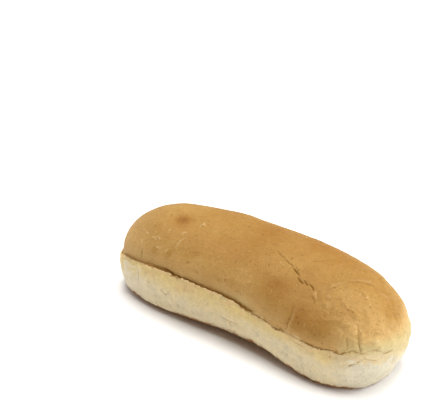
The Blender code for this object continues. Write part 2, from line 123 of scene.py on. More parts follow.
# Cracks, folds and wrinkles. Each kind: groove depth and reach in the mesh, lifted side, half width and
# darkness
# of the line in it: brown with painted shade in the groove, and a darkness below 0 gives a pale line of
# painted
# highlight. Each path: kind, set (neighbours take different sets), and its points: pixels of the photo, or on
# the side that the photo doesn't show places on the bun in millimetres.
bunLines = {
    "kinds": {
        "crack": {"depth": 0.6, "reach": 0.45, "lift": 0.26, "halfWidth": 0.56, "dark": 0.95},
        "hairline": {"depth": 0.35, "reach": 0.4, "lift": 0.12, "halfWidth": 0.42, "dark": 0.66},
        "fold": {"depth": 0.45, "reach": 0.8, "lift": 0.12, "halfWidth": 0.65, "dark": 0.38},
        "seam": {"depth": 0.24, "reach": 0.6, "lift": 0.0, "halfWidth": 0.65, "dark": 0.60},
        # edge and rim: dark lines of painted shade in the crease at the lip
        "edge": {"depth": 0.35, "reach": 0.5, "lift": 0.0, "halfWidth": 0.8, "dark": 0.95},
        "rim": {"depth": 0.3, "reach": 0.5, "lift": 0.0, "halfWidth": 0.8, "dark": 0.92},
        "wrinkle": {"depth": 0.25, "reach": 0.55, "lift": 0.0, "halfWidth": 0.5, "dark": 0.34},
        # ridge and flake: lighter lines, painted highlight along lit ridge lines and on pale flakes
        "ridge": {"depth": -0.35, "reach": 1.1, "lift": 0.0, "halfWidth": 1.1, "dark": -0.13},
        "flake": {"depth": -0.18, "reach": 0.5, "lift": 0.0, "halfWidth": 0.48, "dark": -0.42},
    },
    "liftAside": (0.0, -0.8, 0.0), "sets": 3, "fadePower": 0.4, "darkSpan": (4.0, 2.5), "farAway": 9.0,
    "paths": {
        "topCrack": (
            ("hairline", 0, ((277.5, 251), (280, 254), (281.5, 256), (285.5, 258.5))),
            ("hairline", 1, ((283, 259), (287, 261), (289, 263.5), (291.5, 264.5), (292.5, 268.5))),
            ("crack", 0, ((292.5, 268), (295.5, 271.5), (297.5, 273.5), (299.5, 276.5))),
            ("crack", 1, ((297.5, 277), (299, 280.5), (300.5, 282), (304, 284.5))),
            ("crack", 0, ((303.5, 280.5), (305.5, 283), (308, 286.5))),
            ("crack", 1, ((309.5, 284.5), (312, 287.5), (314, 291))),
            ("fold", 0, ((318, 290), (318, 296), (318, 301.5))),
            ("fold", 1, ((312.5, 297), (314.5, 302.5))),
            ("ridge", 2, ((314, 291.5), (315, 296), (316, 300.5))),
        ),
        "belowCrack": (
            ("wrinkle", 0, ((293, 305), (292.5, 314))),
            ("seam", 0, ((292.5, 312.5), (290.5, 318.5), (287.5, 325), (285, 331.5))),
            ("ridge", 2, ((296, 310), (293, 318), (289, 328.5), (288, 332.5))),
            ("fold", 1, ((346, 338), (347.5, 345), (347, 351))),
        ),
        # Along the lip: dark lines of painted shade in the crease under the crust
        "leftLip": (
            ("seam", 0, ((124.5, 253.5), (127.5, 255.5), (130, 258), (134, 260), (138.5, 262.5),
                (144, 264))),
            ("seam", 1, ((142, 263.5), (147, 264.5), (152.5, 266.5), (158, 267), (163.5, 269),
                (169, 271.5))),
            ("rim", 0, ((163, 268.5), (169, 271.5), (174.5, 275.5), (181, 278.5))),
        ),
        # Along the lip: dark lines of painted shade in the crease under the crust
        "rightLip": (
            ("rim", 0, ((236.5, 303.5), (248, 311), (256.5, 316), (264.5, 320), (273, 327))),
            ("rim", 1, ((271, 326), (276, 329), (280.5, 329.5), (285.5, 332.5))),
            ("fold", 0, ((284, 331.5), (293, 336.5), (300.5, 340.5))),
            ("rim", 1, ((298, 339), (306, 343), (312.5, 346), (321.5, 348.5))),
            ("edge", 0, ((310.5, 345), (320, 348.5), (325.5, 349.5), (329.5, 350), (333.5, 352),
                (338, 353))),
            ("rim", 1, ((334.5, 352), (336.5, 352.5), (339, 354.5), (342.5, 353.5), (346, 352.5))),
        ),
        # Flakes of crust painted pale, partly as painted highlight
        "flakes": (
            ("flake", 2, ((199.5, 227.5), (203.5, 224), (206, 226))),
            ("flake", 2, ((181, 234), (185, 232.5), (187, 233))),
            ("flake", 2, ((176, 246), (180.5, 241), (185, 237.5))),
            ("flake", 2, ((152, 236.5), (156, 239))),
            ("flake", 2, ((157, 236), (160.5, 240))),
            ("flake", 2, ((146.5, 232), (148, 234))),
            ("flake", 2, ((155.5, 246.5), (160, 249))),
            ("flake", 2, ((165, 253), (168, 249))),
            ("flake", 2, ((141.5, 239), (142, 244))),
            ("flake", 2, ((372.5, 343), (377.5, 341), (379.5, 340.5))),
            ("flake", 2, ((365.5, 352), (371.5, 352.5), (375, 353.5))),
            ("flake", 2, ((331, 353.5), (335, 354.5), (338.5, 355.5))),
            ("flake", 2, ((345.5, 353), (348, 353.5), (351, 353))),
        ),
        "endFolds": (
            ("fold", 0, ((357.5, 324), (358.5, 332.5), (356.5, 340.5))),
            ("seam", 1, ((358, 333), (358.5, 338), (358.5, 343.5), (360, 348.5), (361.5, 354))),
            ("wrinkle", 0, ((362, 355.5), (367, 360), (371.5, 360.5), (377, 361))),
            ("wrinkle", 1, ((329.5, 353), (330.5, 359.5))),
        ),
        "leftFold": (
            ("seam", 1, ((142.5, 248.5), (142, 258.5))),
        ),
        "farEnd": (
            ("fold", 0, ((380.5, 289), (385, 293.5), (389, 297))),
            ("ridge", 2, ((381, 294.5), (388.5, 300))),
            ("ridge", 2, ((393.5, 321), (391.5, 326), (386.5, 335))),
        ),
        # Lighter ridge lines of painted highlight beside darker lines of painted shade
        "topWrinkles": (
            ("ridge", 2, ((328, 288), (340, 284), (346.5, 282.5))),
            ("ridge", 2, ((327, 303), (327, 309))),
            ("ridge", 2, ((349.5, 281), (357.5, 280.5), (367, 282), (375.5, 284.5))),
            ("ridge", 2, ((328.5, 300), (329, 296), (327.5, 293.5))),
            ("wrinkle", 0, ((341, 284.5), (351, 281.5), (359, 282.5), (366.5, 284), (374.5, 286))),
            ("wrinkle", 1, ((310, 261), (319.5, 261.5), (328.5, 259.5), (334.5, 259))),
            ("wrinkle", 1, ((337, 259.5), (344, 261), (349.5, 263.5))),
        ),
        # Round the +X end's lip: dark frill lines, painted shade under the crust's edge
        "endLip": (
            ("seam", 0, ((345.5, 352), (348.5, 352.5), (352, 351), (356.5, 353), (361.5, 354),
                (365.5, 353))),
            ("wrinkle", 1, ((362.5, 353.5), (368.5, 351), (372.5, 352.5), (375.5, 352), (379.5, 352),
                (384.5, 353.5))),
            ("seam", 0, ((370, 350.5), (374, 350), (377.5, 351), (381, 352))),
            ("seam", 0, ((382.5, 354), (388, 352.5), (393, 349.5))),
        ),
        "endWall": (
            ("fold", 0, ((348, 366), (352.5, 365), (356, 364.5))),
            ("wrinkle", 1, ((357, 363), (363.5, 359.5))),
            ("hairline", 1, ((348, 366.5), (349.5, 366), (352.5, 365))),
        ),
        "wallMarks": (
            ("wrinkle", 0, ((220, 316), (229, 321), (238, 324.5))),
            ("wrinkle", 1, ((251.5, 328.5), (259.5, 336.5))),
            ("wrinkle", 0, ((138, 268.5), (138.5, 280.5))),
            ("wrinkle", 1, ((162, 287.5), (161, 290), (165, 294.5), (168.5, 293.5), (166, 289))),
        ),
        "farSide": (
            ("fold", 0, ((-29.0, 33.0, 32.0), (-30.5, 34.5, 26.2))),
            ("crack", 1, ((-66.0, 15.0, 29.0), (-63.0, 13.0, 32.0), (-60.0, 12.0, 34.0))),
            ("wrinkle", 0, ((18.0, 33.0, 31.0), (20.0, 35.0, 24.0))),
        ),
    },
}

# Small spots in the skin (pixel of the photo, radius, darkness): dark specks, and holes darkened as painted
# shade; a negative darkness marks pale scuffs and blisters, partly painted highlight
bunSpots = (
    ((302.5, 309.5), 0.85, 0.9), ((285.5, 332), 0.8, 0.85), ((335.5, 352), 1.8, 1.0),
    ((376.5, 350.5), 0.9, 0.6), ((365, 296.5), 0.65, 0.5), ((280.5, 265), 0.6, 0.35),
    ((306, 273), 0.55, 0.35), ((326, 278.5), 0.55, 0.35), ((321, 298), 0.65, 0.45),
    ((333, 261.5), 0.6, 0.3), ((324, 304.5), 0.6, 0.35), ((344.5, 314.5), 0.7, 0.35),
    ((170, 256), 1.1, 0.35), ((171, 245.5), 0.6, 0.25), ((290, 352), 0.6, 0.35),
    ((303.5, 370.5), 0.5, 0.35), ((355, 377), 0.7, 0.4), ((363.5, 383), 0.6, 0.35),
    ((367.5, 297), 0.9, -0.6), ((378, 343.5), 1.6, -0.6), ((382, 349), 1.3, -0.6),
    ((147.5, 233), 1.1, -0.5), ((155, 232.5), 0.8, -0.5), ((158.5, 237), 1.3, -0.5),
    ((169, 230.5), 0.8, -0.55), ((183, 233.5), 1.6, -0.4), ((342, 368.5), 0.55, -0.6),
    ((332, 365), 0.5, -0.5), ((333, 355.5), 1.5, -0.6), ((348, 353.5), 1.2, -0.8),
)

# Baking: how brown the crust is, as spots (x, y, z, reach, change)
bunBake = {
    "level": 0.615,
    "spots": (
        (40.0, -22.0, 29.0, 6.5, 0.21), (51.0, -23.0, 29.0, 6.8, 0.16), (31.0, -18.0, 32.0, 8.0, 0.08),
        (8.0, -18.0, 31.0, 8.0, 0.04), (23.0, -15.0, 34.0, 7.0, 0.20), (10.0, -20.0, 26.0, 4.5, -0.10),
        (-42.0, -1.0, 39.0, 3.8, 0.32), (-25.0, -15.0, 34.0, 4.0, 0.08), (-44.0, -19.0, 30.0, 2.2, 0.14),
        (-36.0, -18.0, 31.0, 2.2, 0.12), (-57.0, -14.0, 32.0, 10.0, -0.07), (0.0, 8.0, 40.0, 22.0, 0.07),
        (13.0, -10.0, 37.0, 11.0, -0.02), (64.0, -15.0, 32.0, 9.0, -0.10), (66.0, -20.0, 26.0, 6.0, -0.07),
        (59.0, 9.0, 36.0, 11.0, 0.06), (71.0, 6.0, 30.0, 8.0, 0.16), (30.0, 22.0, 37.0, 16.0, 0.10),
        (62.0, -1.0, 37.0, 9.0, -0.13), (-10.0, 18.0, 38.0, 16.0, 0.06), (15.0, 30.0, 30.0, 15.0, 0.10),
        (-40.0, 30.0, 30.0, 12.0, 0.08), (-56.0, 2.0, 36.0, 12.0, -0.07),
    ),
    "paleEndDrop": 0.26, "paleEndSpan": (60.5, 74.5), "paleEndHeights": (31.0, 20.5),
    "paleSideDrop": 0.15, "paleSideLevels": (5.62, 5.12),
    "paleRimDrop": 0.07, "paleRimLevels": (5.20, 4.95),
    "paleRimSpot": 0.12, "paleRimX": 6.0, "paleRimReach": 12.0,
    "paleFrillDrop": 0.08, "paleFrillSpan": (59.0, 64.0),
    "broadCell": 11.0, "broadChange": 0.05, "middleCell": 4.0, "middleChange": 0.025,
    "ragged": ((4.5, 0.7), (1.6, 0.5)),               # uneven edge of the crust where the crease is closed
    "tornLevels": ((3.6, 0.30), (1.3, 0.30)),         # and of the lip's torn top, in levels
    "footLevels": ((6.0, 0.10), (2.0, 0.12)),         # and of the foot's toasted edge
    "seeds": {"broad": 101, "middle": 102, "ragged": 111, "torn": 121, "foot": 131},
}

# Where the colours lie: spans of level and of x, and the shares reached there
bunMasks = {
    "crustLevels": (3.6, 4.1), "crustAboveLip": (-0.6, 0.8), "undersideLevels": (0.2, 0.0),
    "endEarlier": 2.0,                                # than the crease has closed
    "butterLevels": (1.30, 1.95), "butterShift": 0.50,
    "butterLowerSpan": (-45.0, 0.0), "butterHigherSpan": (15.0, 35.0),
    "butterGap": 0.35, "butterGapX": 44.0, "butterGapReach": 10.0, "butterEndLoss": 0.7,
    "tanLevels": (1.74, 2.1), "tan": 0.60, "tanMore": 0.20, "tanMoreReach": 25.0, "tanEndLoss": 0.6,
    "paleShadedEnd": 0.85, "golden": 0.85, "goldenLevels": (1.62, 2.05),
    "milky": 0.75, "milkySpan": (-35.0, -60.0), "milkyLevels": (1.85, 1.45),
    "crinkled": 0.45, "crinkledSpan": (20.0, 55.0), "crinkledLevels": (4.0, 5.0),
    "toastLevels": (1.00, 0.40), "toastEndLoss": 0.45, "toastEndSpan": (62.0, 73.0),
    # Painted shade in the crease under the crust's curl, over the crust's brown: its levels, and its share
    # where the crease gapes, where it is thin and toward -X
    "creaseShadeLevels": ((2.9, 3.1), (4.72, 4.20)), "creaseShadeOpen": 0.95, "creaseShadeThin": 0.40,
    "creaseShadeMinusX": 0.35, "creaseShadeMinusXSpan": (-60.0, -32.0),
}

# Linear colours. The ramp runs from the palest crust to the brownest.
bunColours = {
    "cream": (0.628, 0.560, 0.385), "butter": (0.612, 0.485, 0.212), "milky": (0.67, 0.62, 0.48),
    # The +X end's wall: paler in hue than the cream, and darker as painted shade set against the strong right
    # lamp
    "paleShadedEnd": (0.53, 0.49, 0.38), "tan": (0.59, 0.42, 0.21), "golden": (0.53, 0.42, 0.235),
    "ramp": (
        (0.00, (0.490, 0.400, 0.215)), (0.20, (0.470, 0.355, 0.152)), (0.40, (0.448, 0.278, 0.097)),
        (0.60, (0.338, 0.186, 0.045)), (0.80, (0.275, 0.124, 0.020)), (1.00, (0.180, 0.068, 0.009)),
    ),
    "footToast": (0.24, 0.108, 0.036), "underside": (0.30, 0.15, 0.053),
    # Brown with painted shade for the lines' grooves, dark holes and the crease; pale crust and painted
    # highlight for ridge lines, flakes and pale spots
    "lineShadeBrown": (0.190, 0.088, 0.004), "creaseShadeBrown": (0.215, 0.086, 0.005), "scuffAndHighlight": (0.60, 0.47, 0.25),
}

# Fine texture of the bread: cloudy noises, pores and creases, and how much of each goes into a value
breadLook = {
    "mottles": {
        "broad": {"Scale": 90.0, "Detail": 2.0}, "middle": {"Scale": 300.0, "Detail": 3.0},
        "fine": {"Scale": 1000.0, "Detail": 2.0}, "grain": {"Scale": 2000.0, "Detail": 1.0},
        "patchy": {"Scale": 150.0, "Detail": 1.0},
    },
    "streaks": {"Scale": 520.0, "Detail": 3.0}, "streakStretch": 0.3,
    "shakeScale": 900.0, "shake": 0.0030,
    "dots": {"Scale": 520.0, "Share": 0.36, "Radius": 0.30},
    "flecks": {"Scale": 640.0, "Share": 0.22, "Radius": 0.32},
    "patchyRange": (-0.35, 0.35), "patchyDots": 0.75,
    "crinkles": {"Scale": 260.0, "Width": 0.024, "Share": 0.50},
    "marks": {"Scale": 330.0, "Width": 0.022, "Share": 0.30},
    "bake": {"broad": 0.030, "middle": 0.020, "dots": 0.50, "flecks": -0.34, "crinkles": 0.05},
    "crustShade": {"fine": 0.075, "grain": 0.11},
    "wall": {
        "butter": {"broad": 0.34, "middle": 0.10}, "milky": {}, "paleShadedEnd": {}, "tan": {"fine": 0.35},
        "golden": {"middle": 0.15},
    },
    "wallLevel": 0.99,
    "wallShade": {"streaks": 0.05, "broad": 0.05, "middle": 0.13, "fine": 0.10, "grain": 0.07},
    "toast": {"fine": 0.25}, "toastRange": (0.35, 0.85), "wallDots": 0.30, "wallMarks": 0.30,
    "spotLevel": 0.7, "spotChange": 0.8, "lineShake": 0.7, "lineWidthChange": 0.45,
    "roughnessLevel": 0.66, "roughness": {"middle": 0.05}, "specular": 0.18,
    "height": {
        "fine": 0.050, "middle": 0.10, "dots": -0.14, "flecks": 0.08, "lines": -0.20, "crinkles": -0.11,
        "marks": -0.10,
    },
    "bumpDistance": 0.001,
}

# Inner numbers of the shared textures
textureForms = {
    "mottleRoughness": 0.60, "mottleSpread": 3.0,
    "creaseDetail": 1.5, "breakFiner": 1.37, "breakLimit": 0.75, "breakPerShare": 0.5,
    "breakFade": (-0.06, 0.02),
}

photoView = {
    "azimuth": 40.3, "elevation": 28.0, "distance": 0.850, "focalPixels": 1911.5,
    "targetHeight": 0.018, "targetPixel": (256.2, 289.1),
    "width": 424, "height": 400, "sensor": 36.0,
}

# Lamps are (name, direction as right, away and up from the camera, watts, size, colour)
studio = {
    "floorRadius": 4.0, "floorCorners": 96, "floorColour": (0.95, 0.95, 0.95), "floorRoughness": 0.9,
    "worldStrength": 0.0, "lampDistance": 1.5,
    "lamps": (
        ("topLamp", (0.0, 0.23, 1.0), 30.0, 1.3, (1.0, 1.0, 1.0)),
        ("rightLamp", (1.0, 0.0, 0.5), 22.8, 1.5, (1.0, 1.0, 1.0)),
        ("frontRightLamp", (0.76, -0.65, 0.45), 8.7, 1.0, (1.0, 1.0, 1.0)),
        ("backLeftLamp", (-0.76, 0.65, 0.45), 8.6, 1.0, (1.0, 1.0, 1.0)),
        ("lowFrontLamp", (-0.65, -0.76, 0.18), 5.2, 0.5, (1.0, 0.75, 0.50)),
    ),
}


# 0 before start and 1 after end: with s the share of the way, s * s * (3 - 2 * s)
def rise(start, end, value):
    share = np.clip((value - start) / (end - start), 0.0, 1.0)
    return share * share * (3.0 - 2.0 * share)


# 1 at the centre, e to the minus square of the distance over the reach elsewhere
def bell(value, centre, reach):
    return np.exp(-(((value - centre) / reach) ** 2))


# The first value at share 0 and the second at share 1
def blend(first, second, share):
    return first + (second - first) * share


# 1 where a value is inside all of its spans: the product of their rises
def within(spans, value):
    return math.prod(rise(*span, value) for span in spans)


# A parabola that pushes the middle of the bun to +Y and leaves its tips
def middleLine(form, x):
    return form["bend"] * (1.0 - (x / form["halfLength"]) ** 2)


# |x / halfLength| ** bluntness + (y / halfWidth) ** 2 = 1, at stations evenly spaced along its +Y half and
# mirrored onto the other, then widened to +X, bent, and pushed in or out at the hollow and the swell
def lipOutline(form):
    turn = np.linspace(0.0, math.pi, form["outlineSamples"])
    x = form["halfLength"] * np.sign(np.cos(turn)) * np.abs(np.cos(turn)) ** (2.0 / form["endBluntness"])
    y = form["halfWidth"] * np.sin(turn)
    travelled = np.concatenate(([0.0], np.cumsum(np.hypot(np.diff(x), np.diff(y)))))
    even = np.linspace(0.0, travelled[-1], form["stations"] // 2 + 1)
    x, y = np.interp(even, travelled, x), np.interp(even, travelled, y)
    x, y = np.concatenate((x, x[-2:0:-1])), np.concatenate((y, -y[-2:0:-1]))
    swellSide = rise(-form["sideBlend"] * form["halfWidth"], form["sideBlend"] * form["halfWidth"], y)
    y = y * (1.0 + form["widerAtPlusX"] * x / form["halfLength"]) + middleLine(form, x)
    y = y + form["hollowDepth"] * (1.0 - swellSide) * bell(x, form["hollowX"], form["hollowReach"])
    y = y + form["swellDepth"] * swellSide * bell(x, form["swellX"], form["swellReach"])
    outline = np.stack((x, y), axis=1)
    along = np.roll(outline, -1, axis=0) - np.roll(outline, 1, axis=0)
    along /= np.linalg.norm(along, axis=1)[:, None]
    outward = np.stack((along[:, 1], -along[:, 0]), axis=1)
    ridgeEnd = form["halfLength"] - form["ridgeInset"] * form["halfWidth"]
    ridgeX = np.clip(x, -ridgeEnd, ridgeEnd)
    return outline, outward, np.stack((ridgeX, middleLine(form, ridgeX)), axis=1)


# The profile's sizes at each station: side values blended into end values by how far a station faces +X or -X
def stationSizes(form, outline, outward):
    x = outline[:, 0]
    share = {name: rise(*span, x) for name, span in form["spansAlongX"].items()}
    hollowSide = rise(*form["hollowSideSpan"], outward[:, 1])
    plusEnd, minusEnd = rise(*form["endSpan"], outward[:, 0]), rise(*form["endSpan"], -outward[:, 0])
    sides = 1.0 - plusEnd - minusEnd
    facing = np.degrees(np.arctan2(outward[:, 1], outward[:, 0]))
    atCorner = bell(facing, form["cornerFacing"], form["cornerSpread"])
    corner = atCorner * share["corner"]
    pastCorner = bell(facing, form["cornerFacing"], form["beyondSpread"]) - atCorner
    beyond = form["beyondDrop"] * np.where(facing > form["cornerFacing"], pastCorner, 0.0) * share["beyond"]
    lip = form["lipHeight"] - form["lipDrop"] * share["lipDrop"] - beyond
    lip = lip - form["lipDropAtMinusX"] * share["lipDropAtMinusX"] - form["cornerDrop"] * corner
    lip = lip - form["lipDropFacingMinusX"] * rise(*form["lipFacingSpan"], -outward[:, 0])
    foot = blend(form["footRadius"], form["footRadiusPlusX"], share["footPlusX"])
    foot = foot + (form["footRadiusCorner"] - form["footRadiusPlusX"]) * corner
    footReach = np.where(x < form["footHollowX"], form["footHollowReachMinusX"], form["footHollowReachPlusX"])
    inHollow = hollowSide * bell(x, form["footHollowX"], footReach)
    foot = foot + (form["footRadiusHollow"] - form["footRadius"]) * inHollow
    crustHollow = form["crustOutHollowMinusX"] * share["crustMinusX"]
    crustHollow = crustHollow + form["crustOutHollowPlusX"] * share["crustPlusX"]
    crustSides = crustHollow * hollowSide + form["crustOutSwell"] * (1.0 - hollowSide)
    tuck = form["tuck"] * bell(facing, form["tuckFacing"], form["tuckSpread"]) * share["tuck"]
    gape = hollowSide * share["gapeStart"] * share["gapeEnd"]
    roundness = rise(*form["roundnessSpan"], -outward[:, 0])
    return {
        "curl": blend(form["curlHeight"], form["curlHeightCorner"], corner) + beyond,
        "tuck": tuck - form["lipOutMinusX"] * minusEnd,
        "lip": lip,
        "foot": np.minimum(foot, form["highestFoot"] * lip),
        "taper": form["wallTaper"] * sides + form["wallTaperPlusX"] * plusEnd
        + form["wallTaperMinusX"] * minusEnd,
        "bulge": form["wallBulgePlusX"] * plusEnd + form["wallBulgeMinusX"] * minusEnd,
        "crustOut": crustSides * sides + form["crustOutPlusX"] * plusEnd + form["crustOutMinusX"] * minusEnd,
        "creaseOut": -form["lipRadius"] - form["creaseGap"],
        "creaseDepth": blend(form["creaseDepth"], form["creaseDepthOpen"], gape),
        "gape": gape,
        "closed": np.maximum(share["closed"], hollowSide * (form["thinClosed"] * share["thin"])),
        "undercut": form["undercut"] * inHollow,
        "roundness": blend(form["domeRoundness"], form["domeRoundnessMinusX"], roundness),
    }


# Rows from the underside to the crust's widest place, each (distance out, height, tilt, level): a quarter
# round for the foot, a tapering and bulging wall, a quarter round for the lip, an eased slope into the crease
# and a quarter ellipse for the crust's curl. Where the crease is closed, one bulge from the wall to the crust
# takes its place. The level counts 0 to 1 up the foot, to 2 up the wall, to 3 over the lip, to 4 in the crease
# and to 5 round the curl.
def lowerRows(form, size):
    rows = []
    for share in np.linspace(0.0, 1.0, form["footRows"] + 1):
        turn = share * math.pi / 2.0
        out = -size["taper"] - size["foot"] * (1.0 - math.sin(turn))
        out = out - size["undercut"] * rise(form["undercutTop"], 0.0, share)
        rows.append((out, size["foot"] * (1.0 - math.cos(turn)), turn - math.pi / 2.0, share))
    wallTop = size["lip"] - form["lipRadius"]
    for share in np.linspace(0.0, 1.0, form["wallRows"] + 1)[1:]:
        out = -size["taper"] * (1.0 - share) ** form["taperCurve"] + size["bulge"] * math.sin(math.pi * share)
        out = out - size["tuck"] * share
        rows.append((out, size["foot"] + (wallTop - size["foot"]) * share, 0.0, 1.0 + share))
    for share in np.linspace(0.0, 1.0, form["lipRows"] + 1)[1:]:
        turn = share * math.pi / 2.0
        out = -size["tuck"] - form["lipRadius"] * (1.0 - math.cos(turn))
        rows.append((out, wallTop + form["lipRadius"] * math.sin(turn), turn, 2.0 + share))
    for share in np.linspace(0.0, 1.0, form["creaseRows"] + 1)[1:]:
        out = -size["tuck"] + blend(-form["lipRadius"], size["creaseOut"], share)
        height = size["lip"] - size["creaseDepth"] * (1.0 - math.cos(math.pi * share)) / 2.0
        rows.append((out, height, math.pi / 2.0, 3.0 + share))
    curlIn = size["crustOut"] - size["creaseOut"] + size["tuck"]
    floorHeight = size["lip"] - size["creaseDepth"]
    for share in np.linspace(0.0, 1.0, form["curlRows"] + 1)[1:-1]:
        turn = (share - 1.0) * math.pi / 2.0
        out = size["crustOut"] - curlIn * (1.0 - math.cos(turn))
        height = floorHeight + (size["curl"] + size["creaseDepth"]) * (1.0 + math.sin(turn))
        rows.append((out, height, 0.5 * turn, 4.0 + share))
    first = form["footRows"] + form["wallRows"] // 2
    outStart, heightStart = rows[first][:2]
    for number, share in enumerate(np.linspace(0.0, 1.0, len(rows) - first + 1)[1:-1]):
        out, height, tilt, level = rows[first + 1 + number]
        smoothOut = blend(outStart, size["crustOut"], 0.5 * (share + math.sin(share * math.pi / 2.0)))
        smoothHeight = blend(heightStart, size["lip"] + size["curl"], share)
        out, height = blend(out, smoothOut, size["closed"]), blend(height, smoothHeight, size["closed"])
        rows[first + 1 + number] = (out, height, tilt, level)
    return rows


# Points, outward directions and levels before the relief. The dome runs from the widest place to the ridge
# point above each station: inwards by cos(turn) and up by sin(turn), both raised to 2 / roundness.
def smoothBun(form):
    outline, outward, ridge = lipOutline(form)
    size = stationSizes(form, outline, outward)
    rings, directions, levels = [], [], []
    flat = np.zeros(form["stations"])
    for out, height, tilt, level in lowerRows(form, size):
        rings.append(np.column_stack((outline + outward * out[:, None], height)))
        directions.append(np.column_stack((outward * math.cos(tilt), flat + math.sin(tilt))))
        levels.append(level)
    widest = outline + outward * size["crustOut"][:, None]
    base = size["lip"] + size["curl"]
    top = form["topHeight"] + form["topSwell"] * bell(ridge[:, 0], form["topSwellX"], form["topSwellReach"])
    for share in np.linspace(0.0, 1.0, form["domeRows"] + 1):
        turn = share * math.pi / 2.0
        inward = (math.cos(turn) if share < 1.0 else 0.0) ** (2.0 / size["roundness"])
        upward = math.sin(turn) ** (2.0 / size["roundness"])
        rings.append(np.column_stack((blend(ridge, widest, inward[:, None]), blend(base, top, upward))))
        directions.append(np.column_stack((outward * math.cos(turn), flat + math.sin(turn))))
        levels.append(5.0 + share)
    directions[-1][:] = (0.0, 0.0, 1.0)
    return np.array(rings), np.array(directions), np.array(levels), size


# Random values from -1 to 1 at the corners of a turned lattice, blended smoothly to each point between them
def softNoise(points, cell, seed, corners=64):
    random = np.random.default_rng(seed)
    turned, _ = np.linalg.qr(random.normal(size=(3, 3)))
    table = random.uniform(-1.0, 1.0, (corners, corners, corners))
    scaled = points @ turned / cell
    corner = np.floor(scaled).astype(int)
    share = scaled - corner
    share = share * share * (3.0 - 2.0 * share)
    total = np.zeros(points.shape[:-1])
    for step in np.ndindex(2, 2, 2):
        weight = np.prod(np.where(np.array(step) == 1, share, 1.0 - share), axis=-1)
        place = (corner + np.array(step)) % corners
        total += weight * table[place[..., 0], place[..., 1], place[..., 2]]
    return total


# Sum of soft noises, each (cell, height), with seeds counted from the first one
def noiseSum(points, parts, seed):
    return sum(height * softNoise(points, cell, seed + number) for number, (cell, height) in enumerate(parts))


# Distance from each point to the nearest of the pores, one at a random place in each lattice cell, and that
# pore's random number from 0 to 1
def poreField(points, cell, seed, cells=48):
    table = np.random.default_rng(seed).uniform(0.0, 1.0, (cells, cells, cells, 4))
    corner = np.floor(points / cell).astype(int)
    nearest = np.full(points.shape[:-1], np.inf)
    number = np.zeros(points.shape[:-1])
    for step in np.ndindex(3, 3, 3):
        place = corner + np.array(step) - 1
        draw = table[place[..., 0] % cells, place[..., 1] % cells, place[..., 2] % cells]
        distance = np.linalg.norm((place + draw[..., :3]) * cell - points, axis=-1)
        closer = distance < nearest
        nearest = np.where(closer, distance, nearest)
        number = np.where(closer, draw[..., 3], number)
    return nearest, number


# Outward normals of the grid: the cross product of its steps round the bun and up it
def gridNormals(rings):
    around = np.roll(rings, -1, axis=1) - np.roll(rings, 1, axis=1)
    upward = np.gradient(rings, axis=0)
    normals = np.cross(around, upward)
    return normals / np.maximum(np.linalg.norm(normals, axis=-1), 1e-12)[..., None]


# Quads that join each ring of a grid to the next
def ringQuads(count, stations):
    lower = (np.arange(count - 1) * stations)[:, None] + np.arange(stations)
    beside = (np.arange(count - 1) * stations)[:, None] + (np.arange(stations) + 1) % stations
    return np.stack((lower, beside, beside + stations, lower + stations), axis=-1).reshape(-1, 4)


# Right, up and backward directions of a camera at an azimuth round from -Y and an elevation above the floor
def viewAxes(azimuth, elevation):
    turn, tilt = math.radians(azimuth), math.radians(elevation)
    right = Vector((math.cos(turn), math.sin(turn), 0.0))
    back = Vector((math.sin(turn) * math.cos(tilt), -math.cos(turn) * math.cos(tilt), math.sin(tilt)))
    return right, back.cross(right), back


# Where the camera stands: off to the side of the target by the pixels it lies from the picture's middle
def cameraPlace(view, target):
    right, up, back = viewAxes(view["azimuth"], view["elevation"])
    perPixel = view["distance"] / view["focalPixels"]
    aside = (view["targetPixel"][0] - view["width"] / 2.0) * perPixel
    below = (view["targetPixel"][1] - view["height"] / 2.0) * perPixel
    return target + back * view["distance"] - right * aside + up * below


# Places on the skin: for each pixel the first point that its ray from the camera meets; others stay
# as they are
def ontoSkin(view, tree, points):
    right, up, back = viewAxes(view["azimuth"], view["elevation"])
    eye = cameraPlace(view, Vector((0.0, 0.0, view["targetHeight"]))) / metresPerMillimetre
    placed = []
    for point in points:
        if len(point) == 2:
            aside = (point[0] - view["width"] / 2.0) / view["focalPixels"]
            below = (point[1] - view["height"] / 2.0) / view["focalPixels"]
            point = tree.ray_cast(eye, right * aside - up * below - back)[0]
        placed.append(point)
    return np.array(placed)


# Each path point moved along the skin's normal onto the skin, at the grid point nearest to it
def settle(rings, normals, path):
    points, directions = rings.reshape(-1, 3), normals.reshape(-1, 3)
    settled = []
    for point in np.array(path):
        nearest = np.argmin(np.linalg.norm(points - point, axis=1))
        normal = directions[nearest]
        settled.append(point + normal * ((points[nearest] - point) @ normal))
    return np.array(settled)


# Distance from each point to the nearest stretch of a path, its signed part across the path within the skin,
# and the share of the path's length passed there
def pathDistance(points, normals, path):
    nearest = np.full(points.shape[:-1], np.inf)
    across, passed = np.zeros(points.shape[:-1]), np.zeros(points.shape[:-1])
    lengths = np.linalg.norm(np.diff(path, axis=0), axis=1)
    before = 0.0
    for start, end, length in zip(path[:-1], path[1:], lengths):
        step = end - start
        share = np.clip(((points - start) @ step) / (step @ step), 0.0, 1.0)
        gap = points - start - share[..., None] * step
        distance = np.linalg.norm(gap, axis=-1)
        side = np.cross(step, normals)
        signed = (gap * side).sum(axis=-1) / np.maximum(np.linalg.norm(side, axis=-1), 1e-12)
        closer = distance < nearest
        nearest = np.where(closer, distance, nearest)
        across = np.where(closer, signed, across)
        passed = np.where(closer, (before + share * length) / lengths.sum(), passed)
        before += length
    return nearest, across, passed


# Fades to nothing at both ends of a path: 4 p (1 - p) raised to a power, for the share p of its length passed
def fadeEnds(passed, power):
    return (4.0 * passed * (1.0 - passed)) ** power


